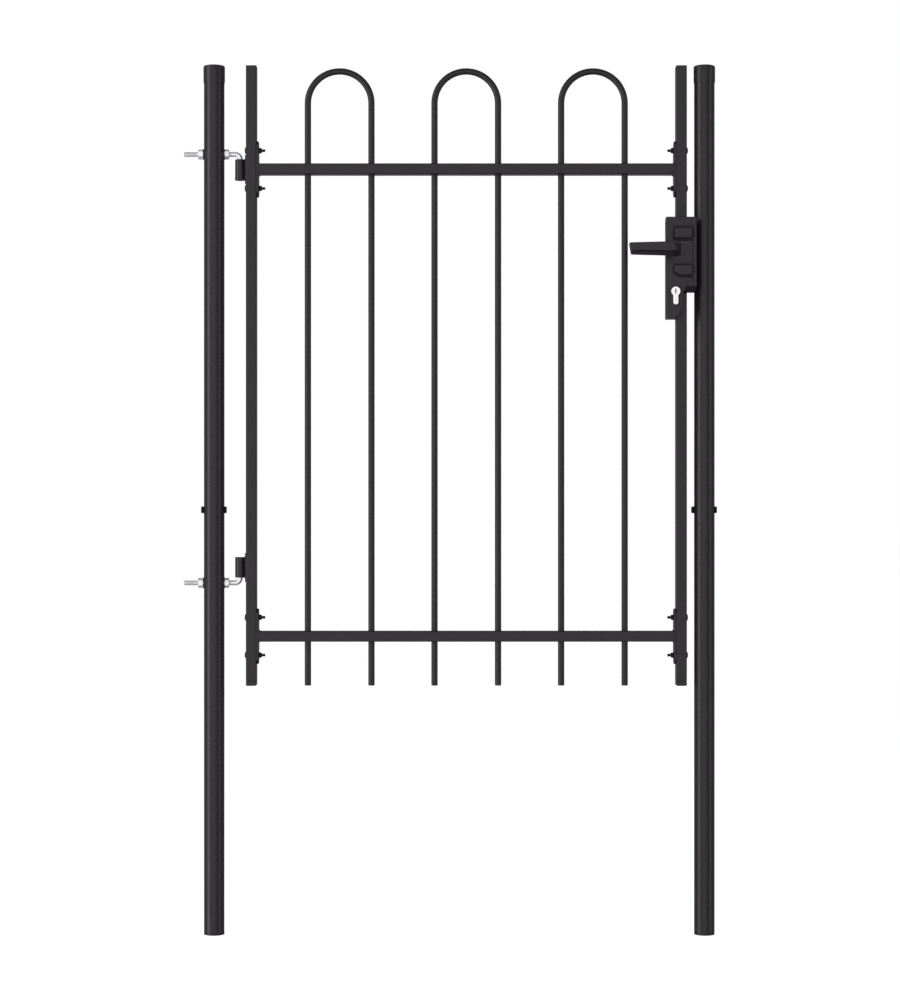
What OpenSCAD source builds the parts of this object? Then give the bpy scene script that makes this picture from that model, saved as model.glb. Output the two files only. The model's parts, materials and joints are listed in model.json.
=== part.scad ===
// Arched steel garden gate between two round posts.
// Frame: origin at the centre of the hinge post's foot, +X to the latch post,
// +Y to the far side of the gate, +Z up. The leaf opens towards -Y.

/* [Posts] */
// Outside diameter of both round posts
post_d = 40; // [34:1:60]
// Wall of the post tubes
post_wall = 2; // [1.5:0.5:4]
// Height of the post tops above the leaf's top
post_rise = 3; // [0:1:100]
// Height of the bolt that crosses each post
cross_bolt_z = 831; // [760:1:1150]
// Diameter of the cross bolt's hole
cross_bolt_d = 8.5; // [6.5:0.5:10.5]

/* [Post caps and feet] */
// Wall of the plastic cap that slips over a post
cap_wall = 1; // [0.8:0.2:3]
// Height of the cap's skirt and crown together
cap_h = 36; // [24:1:50]
// Thickness of the cap's crown above the tube's end
cap_roof = 5; // [4:0.5:8]
// Rounding between the cap's side and its crown
cap_edge = 2; // [1:0.5:8]
// Rise of the crown's shallow dome
cap_dome = 2; // [0.5:0.25:3]
// Distance from the cap's top down to the bead around it
cap_bead_down = 12; // [8:0.5:14]
// Height of that bead
cap_bead_h = 1.2; // [0.8:0.1:2]
// Rise of that bead
cap_bead = 0.3; // [0.1:0.05:0.5]
// Height of the skirt's tapered lower end
cap_taper = 4.5; // [2:0.5:8]
// Wall left at the skirt's lower end
cap_lip = 0.4; // [0.2:0.1:0.7]
// Visible rim of the plug in a post's foot
foot_rim = 5; // [3:0.5:10]
// Length of the foot plug inside the tube
foot_insert = 20; // [10:1:40]
// Rounding of the plug's lower edge
foot_round = 1; // [0.5:0.25:2.5]

/* [Leaf] */
// Width of the leaf over both uprights
leaf_w = 861.5; // [740:0.5:1100]
// Height of the leaf's uprights
leaf_h = 1212; // [1150:1:1500]
// Height of the uprights' lower ends above the posts' feet
leaf_bottom = 487; // [300:1:600]
// Gap between the hinge post and the leaf
hinge_gap = 43; // [41:0.5:60]
// Gap between the leaf and the latch post
latch_gap = 15.5; // [15:0.5:25]
// Width of an upright, seen from the front
upright_w = 20.5; // [18:0.5:30]
// Depth of the uprights and rails, through the gate
frame_depth = 30; // [26:1:40]
// Height of a rail
rail_h = 20.5; // [18:0.5:40]
// Wall of the uprights and rails
tube_wall = 1.5; // [1.2:0.1:3]
// Outer corner radius of the uprights and rails
tube_corner = 2; // [1.6:0.1:3]
// Visible height of the plastic plugs in the uprights' ends
upright_cap_h = 10; // [3:1:12]
// Length of those plugs inside the tube
upright_cap_insert = 18; // [8:1:30]
// Clearance of those plugs in the tube, on each side
cap_clearance = 0.2; // [0.1:0.05:0.4]
// Distance from the leaf's top to the top rail's centre
top_rail_down = 201.5; // [170:0.5:260]
// Distance from the leaf's bottom to the bottom rail's centre
bottom_rail_up = 96.5; // [70:0.5:140]

/* [Rail ends] */
// Thickness of the end plates welded to the rails
end_plate_t = 4; // [3:0.5:8]
// Height of an end plate
end_plate_h = 108; // [96:1:120]
// Cut corners of an end plate
end_plate_cut = 8; // [2:0.5:10]
// Distance of the end plates' bolts from the rail's centre
end_bolt_offset = 37; // [28:1:40]
// Diameter of the holes for the end plates' bolts
end_bolt_d = 6.4; // [5.4:0.1:8.4]

/* [Hoops] */
// Diameter of the bent round bars
bar_d = 12.5; // [10:0.5:16]
// Distance between a hoop's legs, centre to centre
hoop_w = 124.5; // [110:0.5:128]
// Distance between the middles of neighbouring hoops
hoop_pitch = 248; // [220:1:256]
// Number of hoops
hoop_count = 3; // [3:1:3]
// Distance from the leaf's top down to the top of a hoop
hoop_drop = 3; // [0:1:20]
// Chamfer of the bars' cut ends
bar_chamfer = 1; // [0.5:0.25:2]
// Clearance around a bar in the rails
bar_clearance = 0.05; // [0.02:0.01:0.2]

/* [Hinges] */
// Diameter of the hook rods
hook_d = 10; // [8:1:12]
// Radius of the hook's bend, to the rod's centre line
hook_bend = 10; // [8:0.5:14]
// Length of the hook's thread beyond the hinge post
hook_tail = 39; // [25:1:60]
// Distance from the leaf's top to the top hook
top_hook_down = 172; // [140:1:180]
// Distance from the leaf's bottom to the bottom hook
bottom_hook_up = 201; // [170:1:240]
// Outside diameter of the hinge sleeves
sleeve_d = 20; // [17:1:26]
// Length of a hinge sleeve
sleeve_h = 40; // [30:1:60]
// Raised ring at the top sleeve's lower end
sleeve_lip = 0.4; // [0.2:0.1:1]
// Height of that ring
sleeve_lip_h = 5; // [3:1:8]
// Running clearance between hook and sleeve, on the radius
pivot_clearance = 0.08; // [0.04:0.01:0.1]
// Gap between a sleeve's end and the hook's bend
sleeve_end_gap = 0.5; // [0.3:0.1:2]
// Depth of the hook's end inside the sleeve's far end
hook_short = 3; // [0.5:0.5:8]
// Thickness of the plates behind the sleeves
hinge_plate_t = 2; // [1.5:0.5:4]
// Height of those plates
hinge_plate_h = 56; // [50:1:90]
// Width of those plates
hinge_plate_w = 24; // [20:1:26]
// Corner radius of those plates
hinge_plate_r = 3; // [1:0.5:6]
// Width across the flats of the hook nuts
nut_af = 17; // [15:0.5:19]
// Thickness of a hook nut
nut_t = 8; // [6:0.5:10]
// Outside diameter of the washers and saddles
washer_d = 21; // [20:0.5:30]
// Thickness of the steel washer under the outer nut
washer_t = 2; // [1:0.5:4]
// Thickness of the plastic saddles at their thinnest
saddle_t = 1; // [0.8:0.1:3]

/* [Lock] */
// Height of the top rail's centre above the lever's spindle
spindle_down = 163; // [130:0.5:300]
// Distance from the leaf's edge back to the spindle
backset = 24.5; // [23:0.5:26]
// Distance from the spindle down to the cylinder
cylinder_down = 79; // [72:1:86]
// Width of the lock case beside and inside the upright
case_w = 40; // [39:0.5:44]
// Wall of the lock case
case_wall = 1.5; // [1.2:0.1:2.5]
// Distance from the spindle down to the case's lower end
case_below = 130; // [122:1:150]
// Clearance of the case in the upright
case_fit = 0.2; // [0.1:0.05:0.4]
// Height of both covers above the spindle
cover_above = 66; // [58:1:74]
// Overlap of the covers past the case's upper end
cover_lap = 2; // [1:0.5:4]
// Depth of the front cover before the leaf
cover_depth = 22; // [18:1:26]
// Corner radius of the covers
cover_corner = 4; // [2:0.5:5]
// Distance from the spindle down to the front cover's lower edge
cover_below = 84.5; // [82:0.5:90]
// Width of the cut at the front cover's lower outer corner
cut_w = 10.5; // [4:0.5:12]
// Height of that cut
cut_h = 22; // [10:1:28]
// Distance from the spindle down to the wing's lower edge
wing_below = 69; // [66:1:74]
// Reach of the wing past the leaf's edge
wing_reach = 16.5; // [12:0.5:20]
// Depth of the wing
wing_t = 16; // [10:1:16]
// Fall of the wing's underside towards the latch post
wing_slope = 9; // [4:1:10]
// Width of the front cover's tongue around the cylinder's foot
tongue_w = 18; // [15:1:18]
// Length of the tongue below the front cover
tongue_h = 36; // [32:1:40]
// Thickness of the tongue
tongue_t = 1; // [0.6:0.1:2]
// Thickness of the rear cover
rear_cover_t = 4; // [3:0.5:8]
// Set-back of the rear cover from the case's inner and lower edge
rear_inset = 1.5; // [1:0.5:3]
// Side clearance of the rear cover to the strike's stop
rear_gap = 6; // [5:0.5:8]
// Width of the two pads on the front cover
pad_w = 40; // [30:1:40]
// Height of those pads
pad_height = 28; // [20:1:32]
// Rise of those pads, whose sides slope as much
pad_rise = 1.5; // [0.5:0.25:3]
// Reach of those pads past the leaf's edge
pad_reach = 10; // [6:0.5:11]
// Distance from the spindle up to the latch
latch_up = 34; // [30:1:38]
// Distance from the spindle down to the dead bolt
bolt_down = 39; // [36:1:42]
// Height of the latch's nose
latch_h = 16; // [10:1:20]
// Height of the dead bolt
bolt_h = 20; // [14:1:24]
// Thickness of latch and dead bolt
bolt_t = 10; // [8:1:14]
// Gap between the spindle's neck and the bolts' inner ends
bolt_back = 1; // [0.5:0.5:3]
// Reach of the withdrawn latch out of the leaf
latch_reach = 3; // [1:0.5:4]
// Clearance around the sliding pieces
slide_clearance = 0.3; // [0.2:0.05:0.5]

/* [Cylinder] */
// Diameter of the cylinder's round body
cylinder_d = 18; // [16:0.5:18]
// Overall height of the cylinder's profile
cylinder_h = 35; // [30:0.5:36]
// Width of the cylinder's foot
cylinder_foot = 10; // [8:0.5:11]
// Length of cylinder that stands out of both covers
cylinder_out = 4; // [1:0.5:8]
// Width of the key slot
key_slot_w = 2; // [1:0.25:3]
// Height of the key slot
key_slot_h = 9; // [6:0.5:11]
// Depth of the key slot
key_slot_deep = 20; // [5:1:25]

/* [Lever] */
// Side of the square spindle
spindle_s = 8; // [7:1:9]
// Diameter of the lever's neck
neck_d = 18; // [16:0.5:20]
// Running clearance of the necks in the covers, on the radius
neck_clearance = 0.1; // [0.05:0.01:0.1]
// Reach of the lever in front of the cover
lever_out = 42; // [36:1:60]
// Length of the lever from the spindle to its tip
lever_len = 93; // [75:1:110]
// Thickness of the lever's blade
lever_t = 14; // [10:1:18]
// Height of the blade at the neck
lever_root_h = 27; // [22:1:30]
// Height of the blade at its tip
lever_tip_h = 22.5; // [16:0.5:25]
// Share of the blade's face that is flat, above the bevel
lever_flat = 0.6; // [0.5:0.05:0.8]
// Depth of the bevel under the flat face
lever_bevel = 9; // [3:1:9]
// Length of the neck inside the front cover
neck_insert = 8; // [3:1:16]

/* [Rear knob] */
// Width of the fixed knob on the rear cover
knob_w = 19; // [16:1:20]
// Height of the knob
knob_h = 46; // [36:1:60]
// Depth of the knob's head
knob_t = 20; // [14:1:24]
// Length of its neck
knob_neck = 14; // [10:1:16]
// Diameter of its neck
knob_neck_d = 16; // [12:1:16]
// Rounding of the head's corners, seen from behind
knob_round = 7.5; // [3:0.5:7.5]

/* [Strike] */
// Height of the strike above the wing's lower edge
strike_above = 130; // [110:1:132]
// Length of the strike below that edge
strike_below = 4; // [0:0.5:6]
// Gap between the leaf's back and the strike's stop
stop_gap = 5; // [5:0.5:10]
// Thickness of the strike's plates
strike_t = 3; // [2:0.5:5]
// Overlap of the stop behind the leaf
stop_overlap = 6; // [3:0.5:8]
// Gap between the leaf's edge and the strike
strike_gap = 11; // [9:0.5:11]
// Room around latch and dead bolt in the strike's slots
slot_room = 2; // [1:0.5:4]

/* [Hidden] */
$fn = 64;
post_spacing = post_d + hinge_gap + leaf_w + latch_gap;
leaf_top = leaf_bottom + leaf_h;
post_h = leaf_top + post_rise;
leaf_x0 = post_d/2 + hinge_gap;
leaf_x1 = leaf_x0 + leaf_w;
leaf_mid = (leaf_x0 + leaf_x1)/2;
clear_x0 = leaf_x0 + upright_w;
clear_x1 = leaf_x1 - upright_w;
top_rail_z = leaf_top - top_rail_down;
bottom_rail_z = leaf_bottom + bottom_rail_up;
bar_count = 2*hoop_count;
hoop_bend = hoop_w/2;
hoop_spring_z = leaf_top - hoop_drop - bar_d/2 - hoop_bend;
pivot_x = leaf_x0 - hinge_plate_t - sleeve_d/2;
top_hook_z = leaf_top - top_hook_down;
bottom_hook_z = leaf_bottom + bottom_hook_up;
hook_leg = sleeve_end_gap + sleeve_h - hook_short;
sleeve_mid = hook_bend + sleeve_end_gap + sleeve_h/2;
top_sleeve_z = top_hook_z - sleeve_mid;
bottom_sleeve_z = bottom_hook_z + sleeve_mid;
spindle_x = leaf_x1 - backset;
spindle_z = top_rail_z - spindle_down;
cylinder_z = spindle_z - cylinder_down;
latch_z = spindle_z + latch_up;
bolt_z = spindle_z - bolt_down;
front_y = -frame_depth/2;
back_y = frame_depth/2;
case_x0 = leaf_x1 - case_w;
case_z0 = spindle_z - case_below;
cover_z0 = spindle_z - cover_below;
cover_z1 = spindle_z + cover_above;
case_z1 = cover_z1 - cover_lap;
cover_y = front_y - cover_depth;
rear_y = back_y + rear_cover_t;
wing_z = spindle_z - wing_below;
bolt_x0 = spindle_x + neck_d/2 + bolt_back;
EPS = 0.01;

BLACK = [0.16, 0.155, 0.16];
PLASTIC = [0.09, 0.09, 0.095];
ZINC = [0.80, 0.81, 0.83];
NICKEL = [0.78, 0.76, 0.71];

// A rectangle about the origin with round corners.
module round_rect(w, h, r) {
    square([w, h - 2*r], center = true);
    square([w - 2*r, h], center = true);
    for (x = [-1, 1], y = [-1, 1])
        translate([x*(w/2 - r), y*(h/2 - r)])
            circle(r);
}

// A rectangular steel tube along +Z from the origin.
module box_tube(w, h, length) {
    linear_extrude(length)
        difference() {
            round_rect(w, h, tube_corner);
            round_rect(w - 2*tube_wall, h - 2*tube_wall, tube_corner - tube_wall);
        }
}

// A cylinder along +X from the origin.
module rod_x(d, length) {
    rotate([0, 90, 0])
        cylinder(d = d, h = length);
}

// A cylinder along Y, centred on the origin.
module rod_y(d, length) {
    rotate([90, 0, 0])
        cylinder(d = d, h = length, center = true);
}

// A post's tube, drilled across for its bolt and any hooks.
module post(x, hook_heights) {
    color(BLACK)
        difference() {
            translate([x, 0, foot_rim])
                cylinder(d = post_d, h = post_h - cap_roof - foot_rim);
            translate([x, 0, foot_rim - EPS])
                cylinder(d = post_d - 2*post_wall, h = post_h);
            translate([x - post_d, 0, cross_bolt_z])
                rod_x(cross_bolt_d, 2*post_d);
            for (z = hook_heights)
                translate([x - post_d, 0, z])
                    rod_x(hook_d + 2*slide_clearance, 2*post_d);
        }
}

// Slip-over cap: skirt, rounded edge and shallow dome, turned from one profile.
module post_cap(x) {
    r = post_d/2 + cap_wall;
    flat_r = r - cap_edge;
    dome_r = (flat_r*flat_r + cap_dome*cap_dome)/(2*cap_dome);
    edge_z = cap_h - cap_dome;
    bead_z = cap_h - cap_bead_down;
    color(PLASTIC)
        translate([x, 0, post_h - cap_h])
            difference() {
                rotate_extrude() {
                    polygon([[0, 0], [post_d/2 + cap_lip, 0], [r, cap_taper], [r, edge_z - cap_edge],
                             [0, edge_z - cap_edge]]);
                    polygon([[0, bead_z - cap_bead_h/2], [r, bead_z - cap_bead_h/2], [r + cap_bead, bead_z],
                             [r, bead_z + cap_bead_h/2], [0, bead_z + cap_bead_h/2]]);
                    square([flat_r, edge_z]);
                    translate([flat_r, edge_z - cap_edge])
                        intersection() {
                            circle(cap_edge);
                            square(cap_edge);
                        }
                    intersection() {
                        translate([0, cap_h - dome_r])
                            circle(dome_r, $fn = 256);
                        translate([0, cap_h/2])
                            square([flat_r, cap_h]);
                    }
                }
                translate([0, 0, -EPS])
                    cylinder(d = post_d + 2*bar_clearance, h = cap_h - cap_roof + EPS);
            }
}

// Foot plug: a rim as wide as the post, rounded below, and its insert.
module post_foot(x) {
    color(PLASTIC)
        translate([x, 0, 0]) {
            rotate_extrude() {
                square([post_d/2 - foot_round, foot_rim]);
                translate([0, foot_round])
                    square([post_d/2, foot_rim - foot_round]);
                translate([post_d/2 - foot_round, foot_round])
                    circle(foot_round);
            }
            cylinder(d = post_d - 2*post_wall - 2*bar_clearance, h = foot_rim + foot_insert);
        }
}

// A J-shaped hook rod: straight through the post, then bent down into the sleeve.
module hook_rod(z, flip) {
    color(ZINC)
        translate([0, 0, z])
            mirror([0, 0, flip]) {
                translate([-post_d/2 - hook_tail, 0, 0])
                    rod_x(hook_d, post_d/2 + hook_tail + pivot_x - hook_bend);
                translate([pivot_x - hook_bend, 0, -hook_bend])
                    rotate([90, 0, 0])
                        rotate_extrude(angle = 90)
                            translate([hook_bend, 0])
                                circle(d = hook_d);
                translate([pivot_x, 0, -hook_bend - hook_leg])
                    cylinder(d = hook_d, h = hook_leg);
            }
}

// A hexagon nut along +X, its corners chamfered on both sides.
module hook_nut() {
    corner_d = nut_af/cos(30);
    chamfer = (corner_d - nut_af)/4;
    color(ZINC)
        rotate([0, 90, 0])
            difference() {
                intersection() {
                    cylinder(d = corner_d, h = nut_t, $fn = 6);
                    rotate_extrude()
                        polygon([[0, 0], [nut_af/2, 0], [corner_d/2, chamfer],
                                 [corner_d/2, nut_t - chamfer], [nut_af/2, nut_t], [0, nut_t]]);
                }
                translate([0, 0, -EPS])
                    cylinder(d = hook_d + 2*bar_clearance, h = nut_t + 2*EPS);
            }
}

module hook_nuts() {
    for (z = [top_hook_z, bottom_hook_z]) {
        translate([-post_d/2 - saddle_t - washer_t - nut_t, 0, z])
            hook_nut();
        translate([post_d/2 + saddle_t, 0, z])
            hook_nut();
    }
}

module hook_washers() {
    color(ZINC)
        for (z = [top_hook_z, bottom_hook_z])
            translate([-post_d/2 - saddle_t - washer_t, 0, z])
                difference() {
                    rod_x(washer_d, washer_t);
                    translate([-EPS, 0, 0])
                        rod_x(hook_d + 2*slide_clearance, washer_t + 2*EPS);
                }
}

// Plastic saddles, hollowed to lie on the round post.
module hook_saddles() {
    color(PLASTIC)
        for (z = [top_hook_z, bottom_hook_z], side = [0, 1])
            mirror([side, 0, 0])
                difference() {
                    translate([0, 0, z])
                        rod_x(washer_d, post_d/2 + saddle_t);
                    translate([-EPS, 0, z])
                        rod_x(hook_d + 2*slide_clearance, post_d);
                    translate([0, 0, z - washer_d])
                        cylinder(d = post_d, h = 2*washer_d);
                }
}

// Strike on the latch post: a saddle with two slots, and a stop behind the leaf.
module strike() {
    stop_y = back_y + stop_gap;
    strike_x = leaf_x1 + strike_gap;
    half_w = bolt_t/2 + slot_room + strike_t;
    buried_x = post_spacing - post_d/4;
    color(BLACK)
        difference() {
            translate([0, 0, wing_z - strike_below])
                linear_extrude(strike_above + strike_below)
                    difference() {
                        union() {
                            translate([strike_x, -half_w])
                                square([buried_x - strike_x, stop_y + strike_t + half_w]);
                            translate([leaf_x1 - stop_overlap, stop_y])
                                square([buried_x - leaf_x1 + stop_overlap, strike_t]);
                        }
                        translate([post_spacing, 0])
                            circle(d = post_d);
                    }
            for (slot = [[latch_z, latch_h], [bolt_z, bolt_h]])
                translate([strike_x - EPS, -bolt_t/2 - slot_room, slot[0] - slot[1]/2 - slot_room])
                    cube([post_d/2, bolt_t + 2*slot_room, slot[1] + 2*slot_room]);
        }
}

module hinge_upright() {
    color(BLACK)
        difference() {
            translate([leaf_x0 + upright_w/2, 0, leaf_bottom + upright_cap_h])
                box_tube(upright_w, frame_depth, leaf_h - 2*upright_cap_h);
            end_bolt_holes(leaf_x0 - EPS, upright_w + 2*EPS);
        }
}

// The latch upright is opened on its inner side to take the lock case.
module latch_upright() {
    color(BLACK)
        difference() {
            translate([leaf_x1 - upright_w/2, 0, leaf_bottom + upright_cap_h])
                box_tube(upright_w, frame_depth, leaf_h - 2*upright_cap_h);
            end_bolt_holes(clear_x1 - EPS, upright_w + 2*EPS);
            translate([clear_x1 - EPS, tube_wall - frame_depth/2, case_z0 - case_fit])
                cube([tube_corner + EPS, frame_depth - 2*tube_wall, case_z1 - case_z0 + 2*case_fit]);
            lock_passages();
            bolt_passages(2*slide_clearance);
        }
}

// Holes for the bolts that hold all four rail ends.
module end_bolt_holes(x, length) {
    for (z = [top_rail_z, bottom_rail_z], side = [-1, 1])
        translate([x, 0, z + side*end_bolt_offset])
            rod_x(end_bolt_d, length);
}

// Room for the spindle and the cylinder through the whole lock.
module lock_passages() {
    translate([spindle_x, 0, spindle_z])
        rod_y(neck_d + 2*neck_clearance, 4*frame_depth);
    translate([spindle_x, 0, cylinder_z])
        cylinder_profile(slide_clearance, 4*frame_depth);
}

// Room for the latch and the dead bolt through the leaf's edge.
module bolt_passages(room) {
    for (slot = [[latch_z, latch_h], [bolt_z, bolt_h]])
        translate([spindle_x + neck_d/2, -bolt_t/2 - room/2, slot[0] - slot[1]/2 - room/2])
            cube([backset, bolt_t + room, slot[1] + room]);
}

module upright_caps(z, flip) {
    plug_gap = tube_wall + cap_clearance;
    color(PLASTIC)
        for (x = [leaf_x0 + upright_w/2, leaf_x1 - upright_w/2])
            translate([x, 0, z])
                mirror([0, 0, flip]) {
                    linear_extrude(upright_cap_h)
                        round_rect(upright_w, frame_depth, tube_corner);
                    translate([0, 0, -upright_cap_insert])
                        linear_extrude(upright_cap_insert + EPS)
                            square([upright_w - 2*plug_gap, frame_depth - 2*plug_gap], center = true);
                }
}

// A rail: a tube along X, punched for every bar.
module rail(z) {
    color(BLACK)
        difference() {
            translate([clear_x0 + end_plate_t, 0, z])
                rotate([0, 90, 0])
                    box_tube(rail_h, frame_depth, clear_x1 - clear_x0 - 2*end_plate_t);
            for (i = [0:bar_count - 1])
                translate([bar_x(i), 0, z - rail_h])
                    cylinder(d = bar_d + 2*bar_clearance, h = 2*rail_h);
        }
}

// Centre of a bar: hoops are spaced about the leaf's middle, and each has a leg to either side.
function bar_x(i) = leaf_mid + (floor(i/2) - (hoop_count - 1)/2)*hoop_pitch + (i%2 - 1/2)*hoop_w;

// Plates on both ends of a rail, with cut corners and two bolt holes.
module rail_plates(z) {
    h = end_plate_h/2;
    w = frame_depth/2;
    c = end_plate_cut;
    color(BLACK)
        difference() {
            for (x = [clear_x0, clear_x1 - end_plate_t])
                translate([x, 0, z])
                    rotate([90, 0, 90])
                        linear_extrude(end_plate_t)
                            polygon([[-w, c - h], [c - w, -h], [w - c, -h], [w, c - h],
                                     [w, h - c], [w - c, h], [c - w, h], [-w, h - c]]);
            end_bolt_holes(leaf_x0, leaf_w);
        }
}

// A hoop: two legs through the rails and a half-round head.
module hoop(n) {
    x0 = bar_x(2*n);
    color(BLACK) {
        for (x = [x0, x0 + hoop_w]) {
            translate([x, 0, leaf_bottom + bar_chamfer])
                cylinder(d = bar_d, h = hoop_spring_z - leaf_bottom - bar_chamfer);
            translate([x, 0, leaf_bottom])
                cylinder(d1 = bar_d - 2*bar_chamfer, d2 = bar_d, h = bar_chamfer);
        }
        translate([x0 + hoop_bend, 0, hoop_spring_z])
            rotate([90, 0, 0])
                rotate_extrude(angle = 180)
                    translate([hoop_bend, 0])
                        circle(d = bar_d);
    }
}

// A hinge sleeve, bored to turn on its hook.
module sleeve(z, lip) {
    color(BLACK)
        translate([pivot_x, 0, z - sleeve_h/2])
            difference() {
                union() {
                    cylinder(d = sleeve_d, h = sleeve_h);
                    if (lip > 0)
                        intersection() {
                            cylinder(d = sleeve_d + 2*lip, h = sleeve_lip_h);
                            translate([-sleeve_d, -sleeve_d, -EPS])
                                cube([1.5*sleeve_d, 2*sleeve_d, sleeve_h]);
                        }
                }
                translate([0, 0, -EPS])
                    cylinder(d = hook_d + 2*pivot_clearance, h = sleeve_h + 2*EPS);
            }
}

module sleeve_plates() {
    color(BLACK)
        for (z = [top_sleeve_z, bottom_sleeve_z])
            translate([leaf_x0 - hinge_plate_t, 0, z])
                rotate([90, 0, 90])
                    linear_extrude(hinge_plate_t)
                        round_rect(hinge_plate_w, hinge_plate_h, hinge_plate_r);
}

// The steel lock case: flush with the frame beside the upright, narrower inside it.
module lock_case() {
    x1 = leaf_x1 - tube_wall - case_fit;
    inner_w = frame_depth - 2*tube_wall - 2*case_fit;
    h = case_z1 - case_z0;
    color(BLACK)
        difference() {
            union() {
                translate([case_x0, -frame_depth/2, case_z0])
                    cube([clear_x1 - case_fit - case_x0, frame_depth, h]);
                translate([case_x0, -inner_w/2, case_z0])
                    cube([x1 - case_x0, inner_w, h]);
            }
            translate([case_x0 + case_wall, case_wall - inner_w/2, case_z0 + case_wall])
                cube([x1 - case_x0 - 2*case_wall, inner_w - 2*case_wall, h - 2*case_wall]);
            lock_passages();
            bolt_passages(2*slide_clearance);
        }
}

// A plate across Y from y0 to y1, round at its outer corners.
module cover_plate(x0, x1, z0, z1, y0, y1) {
    translate([(x0 + x1)/2, y1, (z0 + z1)/2])
        rotate([90, 0, 0])
            linear_extrude(y1 - y0)
                round_rect(x1 - x0, z1 - z0, cover_corner);
}

// The wing before the latch post, its underside sloping down to the post.
module wing() {
    y1 = cover_y + wing_t;
    z0 = wing_z - wing_slope;
    intersection() {
        cover_plate(clear_x1, leaf_x1 + wing_reach, z0 - 2*cover_corner, cover_z1, cover_y, y1);
        translate([clear_x1, 0, 0])
            rotate([90, 0, 90])
                linear_extrude(upright_w + wing_reach)
                    polygon([[cover_y, wing_z], [y1, z0], [y1, cover_z1], [cover_y, cover_z1]]);
    }
}

// A raised pad with sloping sides on the front cover.
module pad(z) {
    mid = leaf_x1 + pad_reach - pad_w/2;
    hull() {
        translate([mid, cover_y, z])
            cube([pad_w, EPS, pad_height], center = true);
        translate([mid, cover_y - pad_rise, z])
            cube([pad_w - 2*pad_rise, EPS, pad_height - 2*pad_rise], center = true);
    }
}

// The front cover, cut at its lower outer corner, with wing, pads and a thin tongue below.
module front_cover() {
    color(BLACK)
        difference() {
            union() {
                difference() {
                    cover_plate(case_x0, leaf_x1, cover_z0, cover_z1, cover_y, front_y);
                    rotate([90, 0, 0])
                        linear_extrude(2*frame_depth)
                            polygon([[leaf_x1 - cut_w, cover_z0 - EPS], [leaf_x1 + EPS, cover_z0 - EPS],
                                     [leaf_x1 + EPS, cover_z0 + cut_h]]);
                }
                wing();
                pad(latch_z);
                pad(bolt_z);
                translate([spindle_x - tongue_w/2, front_y - tongue_t, cover_z0 - tongue_h])
                    cube([tongue_w, tongue_t, tongue_h + cover_corner]);
            }
            lock_passages();
        }
}

// The rear cover carries a fixed knob, so it is pierced for the cylinder alone.
module rear_cover() {
    color(BLACK)
        difference() {
            cover_plate(case_x0 + rear_inset, leaf_x1 - stop_overlap - rear_gap, case_z0 + rear_inset, cover_z1,
                        back_y, rear_y);
            translate([spindle_x, 0, cylinder_z])
                cylinder_profile(slide_clearance, 4*frame_depth);
        }
}

// An upright knob with rounded ends on a short neck.
module rear_knob() {
    color(PLASTIC)
        translate([spindle_x, rear_y, spindle_z])
            rotate([-90, 0, 0]) {
                cylinder(d = knob_neck_d, h = knob_neck);
                translate([0, 0, knob_neck])
                    linear_extrude(knob_t)
                        round_rect(knob_w, knob_h, knob_round);
            }
}

// The profile of a cylinder: a round body over a narrow foot, along Y.
module cylinder_profile(room, length) {
    foot_r = cylinder_foot/2;
    foot_z = -(cylinder_h - cylinder_d/2 - foot_r);
    rotate([90, 0, 0])
        linear_extrude(length, center = true) {
            circle(d = cylinder_d + 2*room);
            translate([-foot_r - room, foot_z])
                square([cylinder_foot + 2*room, -foot_z]);
            translate([0, foot_z])
                circle(foot_r + room);
        }
}

module profile_cylinder() {
    y0 = cover_y - cylinder_out;
    y1 = rear_y + cylinder_out;
    color(NICKEL)
        translate([spindle_x, 0, cylinder_z])
            difference() {
                translate([0, (y0 + y1)/2, 0])
                    cylinder_profile(0, y1 - y0);
                for (y = [y0 - EPS, y1 - key_slot_deep + EPS])
                    translate([-key_slot_w/2, y, -key_slot_h/2])
                        cube([key_slot_w, key_slot_deep, key_slot_h]);
            }
}

// The withdrawn latch, its nose sloping towards the stop.
module latch_bolt() {
    x1 = leaf_x1 + latch_reach;
    color(ZINC)
        translate([0, 0, latch_z - latch_h/2])
            linear_extrude(latch_h)
                polygon([[bolt_x0, -bolt_t/2], [x1, -bolt_t/2], [leaf_x1, bolt_t/2], [bolt_x0, bolt_t/2]]);
}

module dead_bolt() {
    color(ZINC)
        translate([bolt_x0, -bolt_t/2, bolt_z - bolt_h/2])
            cube([leaf_x1 - bolt_x0, bolt_t, bolt_h]);
}

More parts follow.
